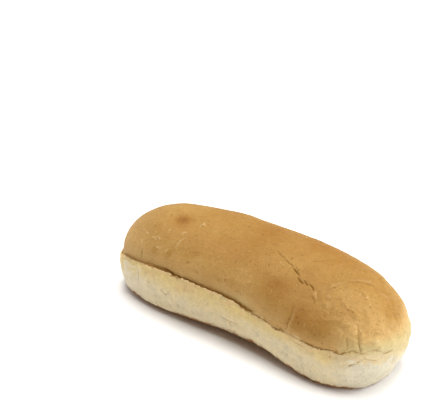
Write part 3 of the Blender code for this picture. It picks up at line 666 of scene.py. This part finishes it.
# Grooves and ridges along the paths, and for each set the signed distance across its nearest path, in half
# widths, and that path's darkness there
def drawLines(lines, rings, normals, view, tree):
    height = np.zeros(rings.shape[:-1])
    across = np.full((lines["sets"],) + height.shape, lines["farAway"])
    dark = np.zeros(across.shape)
    nearest = np.full(across.shape, np.inf)
    for kindName, chosen, path in (line for group in lines["paths"].values() for line in group):
        kind = lines["kinds"][kindName]
        path = settle(rings, normals, ontoSkin(view, tree, path))
        distance, signed, passed = pathDistance(rings, normals, path)
        fade = fadeEnds(passed, lines["fadePower"])
        height -= kind["depth"] * fade * bell(distance, 0.0, kind["reach"])
        if kind["lift"] > 0.0:
            beside, _, passed = pathDistance(rings, normals, path + np.array(lines["liftAside"]))
            lifted = kind["lift"] * fadeEnds(passed, lines["fadePower"])
            height += lifted * bell(beside, 0.0, kind["reach"])
        closer = distance < nearest[chosen]
        nearest[chosen] = np.where(closer, distance, nearest[chosen])
        across[chosen] = np.where(closer, signed / kind["halfWidth"], across[chosen])
        window = kind["dark"] * fade * rise(*lines["darkSpan"], distance / kind["halfWidth"])
        dark[chosen] = np.where(closer, window, dark[chosen])
    return height, across, dark


# Sum of bells round points, each (x, y, ..., reach, height) with as many coordinates as the places have
def spotSum(places, spots):
    total = np.zeros(places.shape[:-1])
    for *centre, reach, height in spots:
        total += height * bell(np.linalg.norm(places - np.array(centre), axis=-1), 0.0, reach)
    return total


# Sines closed round the bun, each (waves, phase, height)
def roundWaves(form, waves):
    roundBun = np.arange(form["stations"]) * (2.0 * math.pi / form["stations"])
    return sum(height * np.sin(count * roundBun + phase) for count, phase, height in waves)


# Teeth of the torn lip, measured along the first row past it: slopes that rise and drop, their lengths and
# heights changed by noise
def tornTeeth(form, relief, rings):
    row = rings[form["footRows"] + form["wallRows"] + form["lipRows"] + 1]
    cell, seeds = relief["lipSteps"], relief["seeds"]
    steps = np.linalg.norm(np.roll(row, -1, axis=0) - row, axis=1)
    travelled = np.concatenate(([0.0], np.cumsum(steps)[:-1])) / cell
    count = round(travelled[-1])
    travelled = travelled * count / (travelled[-1] + steps[-1] / cell)
    flat = row * np.array((1.0, 1.0, 0.0))
    phase = travelled + relief["stepShake"] * softNoise(flat, relief["stepShakeCell"] * cell, seeds["steps"])
    change = relief["stepSizeChange"] * softNoise(flat, relief["stepSizeCell"] * cell, seeds["stepSizes"])
    return relief["lipStepHeight"] * (relief["stepSize"] + change) * (phase % 1.0 - 0.5)


# How far each point stands out from the smooth bun and how far it is raised, before the lines
def bunHeights(form, relief, rings, levels, size):
    seeds = relief["seeds"]
    on = {name: within(spans, levels[:, None]) for name, spans in relief["levels"].items()}
    height = on["crust"] * spotSum(rings[..., :2], relief["dents"]) + spotSum(rings, relief["crags"])
    height = height + on["wall"] * roundWaves(form, relief["wallWaves"])
    height = height + on["offFloor"] * noiseSum(rings, relief["skin"], seeds["skin"])
    stretched = rings * np.array((1.0, 1.0, 1.0 / relief["streakStretch"]))
    height = height + on["wall"] * noiseSum(stretched, relief["wallStreaks"], seeds["streaks"])
    height = height + on["foot"] * noiseSum(rings, relief["footNoise"], seeds["foot"])
    wrinkled = rise(*relief["wrinkleSpan"], rings[..., 0]) * on["wrinkled"]
    for number, (cell, tall) in enumerate(relief["wrinkles"]):
        creases = np.abs(softNoise(rings, cell, seeds["wrinkles"] + number))
        height = height + wrinkled * tall * (1.0 - relief["wrinkleSharpness"] * creases)
    distance, draw = poreField(rings, relief["poreCell"], seeds["pores"])
    pores = bell(distance, 0.0, relief["poreRadius"]) * (draw < relief["poreShare"])
    height = height - on["offFloor"] * relief["poreDepth"] * pores
    torn = blend(relief["leastTorn"], 1.0, size["gape"])
    teeth = tornTeeth(form, relief, rings) + noiseSum(rings, relief["lipNoise"], seeds["lip"])
    raised = on["lip"] * (torn * teeth)
    raised = raised + on["curl"] * noiseSum(rings, relief["curlNoise"], seeds["curl"])
    return height, raised


# How brown the crust is: a level with soft patches and spots, paler low down at the +X end and along its rim
def bakeLevel(bake, rings, levels):
    level = levels[:, None]
    x, z = rings[..., 0], rings[..., 2]
    brown = bake["level"] + spotSum(rings, bake["spots"])
    brown = brown + bake["broadChange"] * softNoise(rings, bake["broadCell"], bake["seeds"]["broad"])
    brown = brown + bake["middleChange"] * softNoise(rings, bake["middleCell"], bake["seeds"]["middle"])
    brown = brown - bake["paleEndDrop"] * (rise(*bake["paleEndSpan"], x) * rise(*bake["paleEndHeights"], z))
    brown = brown - bake["paleSideDrop"] * rise(*bake["paleSideLevels"], level)
    paleRim = bake["paleRimDrop"] + bake["paleRimSpot"] * bell(x, bake["paleRimX"], bake["paleRimReach"])
    paleRim = paleRim + bake["paleFrillDrop"] * rise(*bake["paleFrillSpan"], x)
    return brown - paleRim * rise(*bake["paleRimLevels"], level)


# The skin's masks: how brown, whether crust or wall, and the shares of the colours that lie on them
def skinMasks(form, bake, where, rings, levels, size):
    x = rings[..., 0]
    level = levels[:, None] + np.zeros(form["stations"])
    tornLevel = level + noiseSum(rings, bake["tornLevels"], bake["seeds"]["torn"])
    footLevel = level + noiseSum(rings, bake["footLevels"], bake["seeds"]["foot"])
    aboveLip = rings[..., 2] - size["lip"] + noiseSum(rings, bake["ragged"], bake["seeds"]["ragged"])
    closedStart, closedFull = form["spansAlongX"]["closed"]
    ended = rise(closedStart - where["endEarlier"], closedFull, x)
    butterStart, butterFull = where["butterLevels"]
    butterStart = butterStart - where["butterShift"] * rise(*where["butterLowerSpan"], x)
    butterStart = butterStart + where["butterShift"] * rise(*where["butterHigherSpan"], x)
    butterKept = 1.0 - where["butterGap"] * bell(x, where["butterGapX"], where["butterGapReach"])
    tan = where["tan"] + where["tanMore"] * bell(x, 0.0, where["tanMoreReach"])
    crinkledMore = (1.0 - where["crinkled"]) * rise(*where["crinkledSpan"], x)
    thinCrease = (1.0 - size["gape"]) * (1.0 - size["closed"])
    creaseShadeShare = where["creaseShadeOpen"] * size["gape"] + where["creaseShadeThin"] * thinCrease
    crustLower, crustAbove = rise(*where["crustLevels"], level), rise(*where["crustAboveLip"], aboveLip)
    return {
        "bake": bakeLevel(bake, rings, levels),
        "crust": blend(crustLower, crustAbove, size["closed"]),
        "butter": rise(butterStart, butterFull, level) * butterKept * (1.0 - where["butterEndLoss"] * ended),
        "tan": tan * rise(*where["tanLevels"], tornLevel) * (1.0 - where["tanEndLoss"] * ended),
        # painted shade on the +X end's wall, which is also paler in hue
        "paleShadedEnd": where["paleShadedEnd"] * ended,
        "golden": where["golden"] * ended * rise(*where["goldenLevels"], tornLevel),
        "milky": where["milky"] * rise(*where["milkySpan"], x) * rise(*where["milkyLevels"], tornLevel),
        "crinkled": where["crinkled"] + crinkledMore * rise(*where["crinkledLevels"], level),
        "toast": rise(*where["toastLevels"], footLevel)
        * (1.0 - where["toastEndLoss"] * rise(*where["toastEndSpan"], x)),
        "underside": rise(*where["undersideLevels"], level),
        # painted shade in the crease, with the crust's brown
        "crease": within(where["creaseShadeLevels"], level) * creaseShadeShare
        * blend(where["creaseShadeMinusX"], 1.0, rise(*where["creaseShadeMinusXSpan"], x)),
    }


# Corner lists of quads, in which a corner equal to the one before it is left out and faces of two are dropped
def facesOf(quads):
    fresh = quads != np.roll(quads, 1, axis=1)
    sides = fresh.sum(axis=1)
    quads, fresh, sides = quads[sides > 2], fresh[sides > 2], sides[sides > 2]
    starts = np.concatenate(([0], np.cumsum(sides)[:-1]))
    return quads[fresh], starts, sides


# Rings joined by quads, the lowest ring bridged across its middle, the pairs of the last ring made one, and
# its stations past a ridge end joined to that end
def gridMesh(name, rings):
    count, stations = rings.shape[:2]
    half = stations // 2
    near = np.arange(half)
    across = (stations - near) % stations
    under = np.stack((across, (across - 1) % stations, near + 1, near), axis=-1)
    quads = np.concatenate((ringQuads(count, stations), under))
    partner = np.arange(count * stations)
    lastRing = (count - 1) * stations
    partner[lastRing + half + 1:] = lastRing + np.arange(half - 1, 0, -1)
    points = rings.reshape(-1, 3)
    ends = points[lastRing:lastRing + half + 1]
    same = np.concatenate(([False], np.linalg.norm(np.diff(ends, axis=0), axis=1) < 1e-9))
    first = np.maximum.accumulate(np.where(same, 0, np.arange(half + 1)))
    welded = partner.copy()
    welded[lastRing:lastRing + half + 1] = lastRing + first
    quads = welded[partner][quads]
    keep = np.unique(quads)
    renumber = np.zeros(len(points), dtype=int)
    renumber[keep] = np.arange(len(keep))
    loops, starts, totals = facesOf(renumber[quads])
    mesh = bpy.data.meshes.new(name)
    mesh.vertices.add(len(keep))
    mesh.vertices.foreach_set("co", points[keep].astype(np.float32).ravel())
    mesh.loops.add(len(loops))
    mesh.loops.foreach_set("vertex_index", loops.astype(np.int32))
    mesh.polygons.add(len(starts))
    mesh.polygons.foreach_set("loop_start", starts.astype(np.int32))
    mesh.polygons.foreach_set("loop_total", totals.astype(np.int32))
    mesh.update(calc_edges=True)
    mesh.shade_smooth()
    return mesh, keep


# One number at each point of the mesh, which the material reads by its name
def addMask(mesh, name, values):
    layer = mesh.attributes.new(name, "FLOAT", "POINT")
    layer.data.foreach_set("value", values.astype(np.float32).ravel())


# A node with its settings
def addNode(tree, kind, **values):
    node = tree.nodes.new(kind)
    for name, value in values.items():
        setattr(node, name, value)
    return node


# A socket is given a number, a vector or colour, or the output of another node
def feed(tree, socket, value):
    if isinstance(value, (int, float)):
        socket.default_value = value
    elif isinstance(value, (tuple, np.ndarray)):
        socket.default_value = tuple(value) + (1.0,) * (len(socket.default_value) - len(value))
    else:
        tree.links.new(value, socket)


# A Math node fed by sockets or numbers
def maths(tree, operation, *values, clamp=False):
    node = addNode(tree, "ShaderNodeMath", operation=operation, use_clamp=clamp)
    for socket, value in zip(node.inputs, values):
        feed(tree, socket, value)
    return node.outputs[0]


# A Vector Math node on two vectors
def vectorMaths(tree, operation, first, second, output=0):
    node = addNode(tree, "ShaderNodeVectorMath", operation=operation)
    feed(tree, node.inputs[0], first)
    feed(tree, node.inputs[1], second)
    return node.outputs[output]


# 1 where the value is low and 0 where it is high, eased between the two
def fallOff(tree, value, low, high):
    node = addNode(tree, "ShaderNodeMapRange", interpolation_type="SMOOTHSTEP", clamp=True)
    given = {"Value": value, "From Min": low, "From Max": high, "To Min": 1.0, "To Max": 0.0}
    for name, part in given.items():
        feed(tree, node.inputs[name], part)
    return node.outputs["Result"]


# A colour mix fed by sockets or plain colours
def mixColour(tree, share, first, second, way="MIX"):
    node = addNode(tree, "ShaderNodeMix", data_type="RGBA", blend_type=way, clamp_factor=True)
    for name, value in (("Factor_Float", share), ("A_Color", first), ("B_Color", second)):
        feed(tree, next(s for s in node.inputs if s.identifier == name), value)
    return next(s for s in node.outputs if s.identifier == "Result_Color")


# Colours by a value, each stop (place, colour)
def colourRamp(tree, value, stops):
    node = addNode(tree, "ShaderNodeValToRGB")
    node.color_ramp.interpolation = "LINEAR"
    elements = node.color_ramp.elements
    for index, (place, colour) in enumerate(stops):
        element = elements[index] if index < len(elements) else elements.new(place)
        element.position = place
        element.color = (*colour, 1.0)
    tree.links.new(value, node.inputs[0])
    return node.outputs[0]


# A value as a grey
def grey(tree, value):
    node = addNode(tree, "ShaderNodeCombineColor")
    for socket in node.inputs[:3]:
        tree.links.new(value, socket)
    return node.outputs[0]


# A noise or cell texture at a place, with its other inputs
def textureNode(tree, kind, vector, **inputs):
    node = addNode(tree, kind)
    tree.links.new(vector, node.inputs["Vector"])
    for name, value in inputs.items():
        feed(tree, node.inputs[name], value)
    return node


# A shader node group with one number as its output, and inputs that are vectors where no number is given
def newGroup(name, output, **inputs):
    group = bpy.data.node_groups.new(name, "ShaderNodeTree")
    for label, value in inputs.items():
        kind = "NodeSocketVector" if value is None else "NodeSocketFloat"
        socket = group.interface.new_socket(name=label, in_out="INPUT", socket_type=kind)
        if value is not None:
            socket.default_value = value
    group.interface.new_socket(name=output, in_out="OUTPUT", socket_type="NodeSocketFloat")
    return group, addNode(group, "NodeGroupInput").outputs, addNode(group, "NodeGroupOutput").inputs


# Cloudy unevenness from -1 to 1: a noise less a half, spread, as such a noise seldom leaves its middle third
def mottleGroup(forms):
    group, given, out = newGroup("mottle", "Value", Vector=None, Scale=100.0, Detail=4.0)
    noise = textureNode(group, "ShaderNodeTexNoise", given["Vector"], Scale=given["Scale"],
                        Detail=given["Detail"], Roughness=forms["mottleRoughness"])
    centred = maths(group, "SUBTRACT", noise.outputs["Fac"], 0.5)
    group.links.new(maths(group, "MULTIPLY", centred, forms["mottleSpread"]), out["Value"])
    return group


# Small round dots in a share of the cells, 1 in the middle of each
def poreGroup():
    group, given, out = newGroup("pores", "Mask", Vector=None, Scale=600.0, Share=0.4, Radius=0.3)
    cells = textureNode(group, "ShaderNodeTexVoronoi", given["Vector"], Scale=given["Scale"])
    split = addNode(group, "ShaderNodeSeparateColor")
    group.links.new(cells.outputs["Color"], split.inputs[0])
    present = maths(group, "LESS_THAN", split.outputs[0], given["Share"])
    dot = fallOff(group, cells.outputs["Distance"], 0.0, given["Radius"])
    group.links.new(maths(group, "MULTIPLY", dot, present), out["Mask"])
    return group


# Short curved creases: the places where one noise is near its middle, broken off where another, a little
# finer, is under a limit that falls as the share grows
def creaseGroup(forms):
    group, given, out = newGroup("creases", "Mask", Vector=None, Scale=250.0, Width=0.04, Share=0.5)
    noise = textureNode(group, "ShaderNodeTexNoise", given["Vector"], Scale=given["Scale"],
                        Detail=forms["creaseDetail"])
    away = maths(group, "ABSOLUTE", maths(group, "SUBTRACT", noise.outputs["Fac"], 0.5))
    line = fallOff(group, away, 0.0, given["Width"])
    finer = maths(group, "MULTIPLY", given["Scale"], forms["breakFiner"])
    breaks = textureNode(group, "ShaderNodeTexNoise", given["Vector"], Scale=finer, Detail=0.0)
    lowered = maths(group, "MULTIPLY", given["Share"], forms["breakPerShare"])
    limit = maths(group, "SUBTRACT", forms["breakLimit"], lowered)
    kept = fallOff(group, maths(group, "SUBTRACT", limit, breaks.outputs["Fac"]), *forms["breakFade"])
    group.links.new(maths(group, "MULTIPLY", line, kept), out["Mask"])
    return group


# One spot: 1 at its centre and 0 past its radius
def spotGroup():
    group, given, out = newGroup("skinSpot", "Mask", Vector=None, Centre=None, Radius=0.001)
    distance = vectorMaths(group, "DISTANCE", given["Vector"], given["Centre"], "Value")
    group.links.new(fallOff(group, distance, 0.0, given["Radius"]), out["Mask"])
    return group


# A shared texture placed in a material with its own values
def groupNode(tree, group, vector, **values):
    node = addNode(tree, "ShaderNodeGroup")
    node.node_tree = group
    tree.links.new(vector, node.inputs["Vector"])
    for name, value in values.items():
        feed(tree, node.inputs[name], value)
    return node.outputs[0]


# A mask of the mesh
def attribute(tree, name):
    return addNode(tree, "ShaderNodeAttribute", attribute_name=name).outputs["Fac"]


# A value with textures added to it, each times its amount
def layered(tree, total, textures, amounts):
    for name, amount in amounts.items():
        total = maths(tree, "MULTIPLY_ADD", textures[name], amount, total)
    return total


# The dark of one set of lines, painted shade, and painted highlight where it is below 0: full on the line,
# gone past its half width, place and width varied by noise
def lineDark(tree, number, look, textures):
    across = layered(tree, attribute(tree, "across%d" % number), textures, {"fine": look["lineShake"]})
    width = layered(tree, 1.0, textures, {"middle": look["lineWidthChange"]})
    near = fallOff(tree, maths(tree, "ABSOLUTE", across), 0.0, width)
    return maths(tree, "MULTIPLY", near, attribute(tree, "dark%d" % number))


# Darkness of all dark spots together, partly painted shade, and of all pale ones, partly painted highlight
def spotMasks(tree, groups, place, spots):
    masks = {True: 0.0, False: 0.0}
    for centre, radius, dark in spots:
        mask = groupNode(tree, groups["spot"], place, Centre=centre, Radius=radius)
        isDark = dark > 0.0
        masks[isDark] = maths(tree, "MAXIMUM", masks[isDark], maths(tree, "MULTIPLY", mask, abs(dark)))
    return masks[True], masks[False]


# Baked bread: crust colours by how brown it is, pale wall below, brown and painted shade in cracks, folds,
# holes and the crease, pale scuffs and painted highlights, pores and grain
def breadMaterial(colours, look, groups, spots):
    material = bpy.data.materials.new("bakedBread")
    material.use_nodes = True
    tree = material.node_tree
    shader = tree.nodes["Principled BSDF"]
    place = addNode(tree, "ShaderNodeTexCoord").outputs["Object"]
    noise = textureNode(tree, "ShaderNodeTexNoise", place, Scale=look["shakeScale"])
    shake = vectorMaths(tree, "SUBTRACT", noise.outputs["Color"], (0.5, 0.5, 0.5))
    shake = vectorMaths(tree, "MULTIPLY", shake, (look["shake"], look["shake"], look["shake"]))
    uneven = vectorMaths(tree, "ADD", place, shake)
    upright = addNode(tree, "ShaderNodeMapping")
    upright.inputs["Scale"].default_value = (1.0, 1.0, look["streakStretch"])
    tree.links.new(place, upright.inputs["Vector"])

    textures = {}
    for name, given in look["mottles"].items():
        textures[name] = groupNode(tree, groups["mottle"], place, **given)
    textures["streaks"] = groupNode(tree, groups["mottle"], upright.outputs[0], **look["streaks"])
    patchy = fallOff(tree, textures["patchy"], *look["patchyRange"])
    patchy = maths(tree, "MULTIPLY_ADD", patchy, look["patchyDots"], 1.0 - look["patchyDots"])
    dots = groupNode(tree, groups["pores"], uneven, **look["dots"])
    textures["dots"] = maths(tree, "MULTIPLY", dots, patchy)
    textures["flecks"] = groupNode(tree, groups["pores"], uneven, **look["flecks"])
    crinkles = groupNode(tree, groups["creases"], place, **look["crinkles"])
    textures["crinkles"] = maths(tree, "MULTIPLY", crinkles, attribute(tree, "crinkled"))
    textures["marks"] = groupNode(tree, groups["creases"], uneven, **look["marks"])
    darkAndShadedSpots, paleAndHighlightSpots = spotMasks(tree, groups, uneven, spots)

    bake = layered(tree, attribute(tree, "bake"), textures, look["bake"])
    crustShade = grey(tree, layered(tree, 1.0, textures, look["crustShade"]))
    crust = mixColour(tree, 1.0, colourRamp(tree, bake, colours["ramp"]), crustShade, "MULTIPLY")

    wall = colours["cream"]
    for name, amounts in look["wall"].items():
        wall = mixColour(tree, layered(tree, attribute(tree, name), textures, amounts), wall, colours[name])
    wallShade = grey(tree, layered(tree, look["wallLevel"], textures, look["wallShade"]))
    wall = mixColour(tree, 1.0, wall, wallShade, "MULTIPLY")
    toasted = layered(tree, attribute(tree, "toast"), textures, look["toast"])
    wall = mixColour(tree, fallOff(tree, toasted, *look["toastRange"]), colours["footToast"], wall)
    for name, share in (("dots", look["wallDots"]), ("marks", look["wallMarks"])):
        wall = mixColour(tree, maths(tree, "MULTIPLY", textures[name], share), wall, colours["footToast"])

    colour = mixColour(tree, attribute(tree, "crust"), wall, crust)
    colour = mixColour(tree, attribute(tree, "underside"), colour, colours["underside"])
    # Pale scuffs and painted highlights: pale spots and the lighter lines along ridge lines and flakes
    spotShade = maths(tree, "MULTIPLY_ADD", textures["fine"], look["spotChange"], look["spotLevel"],
                      clamp=True)
    ridgeHighlights = maths(tree, "MULTIPLY", lineDark(tree, 2, look, textures), -1.0)
    pale = maths(tree, "MAXIMUM", maths(tree, "MULTIPLY", paleAndHighlightSpots, spotShade), ridgeHighlights)
    colour = mixColour(tree, pale, colour, colours["scuffAndHighlight"])
    # Brown and painted shade in the grooves of the lines and in dark holes
    lines = maths(tree, "MAXIMUM", lineDark(tree, 0, look, textures), lineDark(tree, 1, look, textures))
    textures["lines"] = maths(tree, "MAXIMUM", lines, darkAndShadedSpots)
    colour = mixColour(tree, textures["lines"], colour, colours["lineShadeBrown"])
    # Painted shade in the crease between the lip and the crust, with the crust's brown
    colour = mixColour(tree, attribute(tree, "crease"), colour, colours["creaseShadeBrown"])
    tree.links.new(colour, shader.inputs["Base Color"])

    roughness = layered(tree, look["roughnessLevel"], textures, look["roughness"])
    tree.links.new(roughness, shader.inputs["Roughness"])
    shader.inputs["Specular IOR Level"].default_value = look["specular"]
    bump = addNode(tree, "ShaderNodeBump")
    bump.inputs["Strength"].default_value = 1.0
    bump.inputs["Distance"].default_value = look["bumpDistance"]
    tree.links.new(layered(tree, 0.0, textures, look["height"]), bump.inputs["Height"])
    tree.links.new(bump.outputs["Normal"], shader.inputs["Normal"])
    return material


# The smooth skin moved out by the heights and up by what is raised, but not below the floor
def raisedSkin(rings, directions, height, raised):
    shaped = rings + directions * height[..., None]
    shaped[..., 2] = np.maximum(shaped[..., 2] + raised, 0.0)
    return shaped


# An object in the scene
def addObject(name, data, place=Matrix()):
    added = bpy.data.objects.new(name, data)
    added.matrix_world = place
    bpy.context.scene.collection.objects.link(added)
    return added


# The fine skin with its masks, turned into metres and moved onto the solid's box, in place of the solid
def makeBun(form, relief, lines, spots, bake, where, colours, look, groups, view):
    rings, directions, levels, size = smoothBun(form)
    normals = gridNormals(rings)
    height, raised = bunHeights(form, relief, rings, levels, size)
    shaped = raisedSkin(rings, directions, height, raised)
    tree = BVHTree.FromPolygons(shaped.reshape(-1, 3).tolist(), ringQuads(*rings.shape[:2]).tolist())
    grooves, across, dark = drawLines(lines, rings, normals, view, tree)
    shaped = raisedSkin(rings, directions, height + grooves, raised)
    centres = settle(shaped, normals, ontoSkin(view, tree, [pixel for pixel, _, _ in spots]))
    shaped = shaped * metresPerMillimetre
    low, high = (np.array(corner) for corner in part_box("bun"))
    points = shaped.reshape(-1, 3)
    shift = (low + high) / 2.0 - (points.min(axis=0) + points.max(axis=0)) / 2.0
    shift[2] = 0.0
    masks = skinMasks(form, bake, where, rings, levels, size)
    for number in range(lines["sets"]):
        masks["across%d" % number] = across[number]
        masks["dark%d" % number] = dark[number]
    mesh, keep = gridMesh("bunSkin", shaped + shift)
    for name, values in masks.items():
        addMask(mesh, name, values.reshape(-1)[keep])
    placed = [
        (centre * metresPerMillimetre + shift, radius * metresPerMillimetre, dark)
        for centre, (_, radius, dark) in zip(centres, spots)
    ]
    mesh.materials.append(breadMaterial(colours, look, groups, placed))
    skin = addObject("bunSkin", mesh)
    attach(skin, "root")
    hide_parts("bun")
    return skin, shift


# The photo's camera, its target moved with the bun
def makeCamera(view, shift):
    data = bpy.data.cameras.new("photoCamera")
    data.sensor_width = view["sensor"]
    data.lens = view["focalPixels"] * view["sensor"] / view["width"]
    data.clip_start, data.clip_end = 0.01, 20.0
    turned = Matrix(viewAxes(view["azimuth"], view["elevation"])).transposed().to_4x4()
    position = cameraPlace(view, Vector((shift[0], shift[1], view["targetHeight"])))
    bpy.context.scene.camera = addObject("photoCamera", data, Matrix.Translation(position) @ turned)


# A pale floor under broad soft lamps, in a dark surround
def makeStudio(studio, view):
    count = studio["floorCorners"]
    turn = np.linspace(0.0, 2.0 * math.pi, count, endpoint=False)
    edge = np.column_stack((np.cos(turn), np.sin(turn), np.zeros(count))) * studio["floorRadius"]
    mesh = bpy.data.meshes.new("floor")
    mesh.from_pydata(edge.tolist(), [], [list(range(count))])
    material = bpy.data.materials.new("paleFloor")
    material.use_nodes = True
    shader = material.node_tree.nodes["Principled BSDF"]
    shader.inputs["Base Color"].default_value = (*studio["floorColour"], 1.0)
    shader.inputs["Roughness"].default_value = studio["floorRoughness"]
    shader.inputs["Specular IOR Level"].default_value = 0.0
    mesh.materials.append(material)
    addObject("floor", mesh)
    world = bpy.data.worlds.new("studioWorld")
    world.use_nodes = True
    world.node_tree.nodes["Background"].inputs["Strength"].default_value = studio["worldStrength"]
    bpy.context.scene.world = world
    right, _, back = viewAxes(view["azimuth"], 0.0)
    for name, (aside, away, above), watts, wide, tint in studio["lamps"]:
        direction = (right * aside - back * away + Vector((0.0, 0.0, above))).normalized()
        data = bpy.data.lights.new(name, "AREA")
        data.shape = "DISK"
        data.size = wide
        data.energy = watts
        data.color = tint
        place = Matrix.Translation(direction * studio["lampDistance"])
        addObject(name, data, place @ direction.to_track_quat("Z", "Y").to_matrix().to_4x4())
    bpy.context.scene.view_settings.view_transform = "Standard"
    bpy.context.scene.view_settings.look = "None"


groups = {
    "mottle": mottleGroup(textureForms), "pores": poreGroup(), "creases": creaseGroup(textureForms),
    "spot": spotGroup(),
}
print("textures made:", len(groups))
skin, shift = makeBun(
    bunForm, bunRelief, bunLines, bunSpots, bunBake, bunMasks, bunColours, breadLook, groups, photoView
)
print("bun made:", len(skin.data.polygons), "faces")
makeCamera(photoView, shift)
print("camera placed, bun shifted by", [round(float(value), 5) for value in shift])
makeStudio(studio, photoView)
print("studio lit")
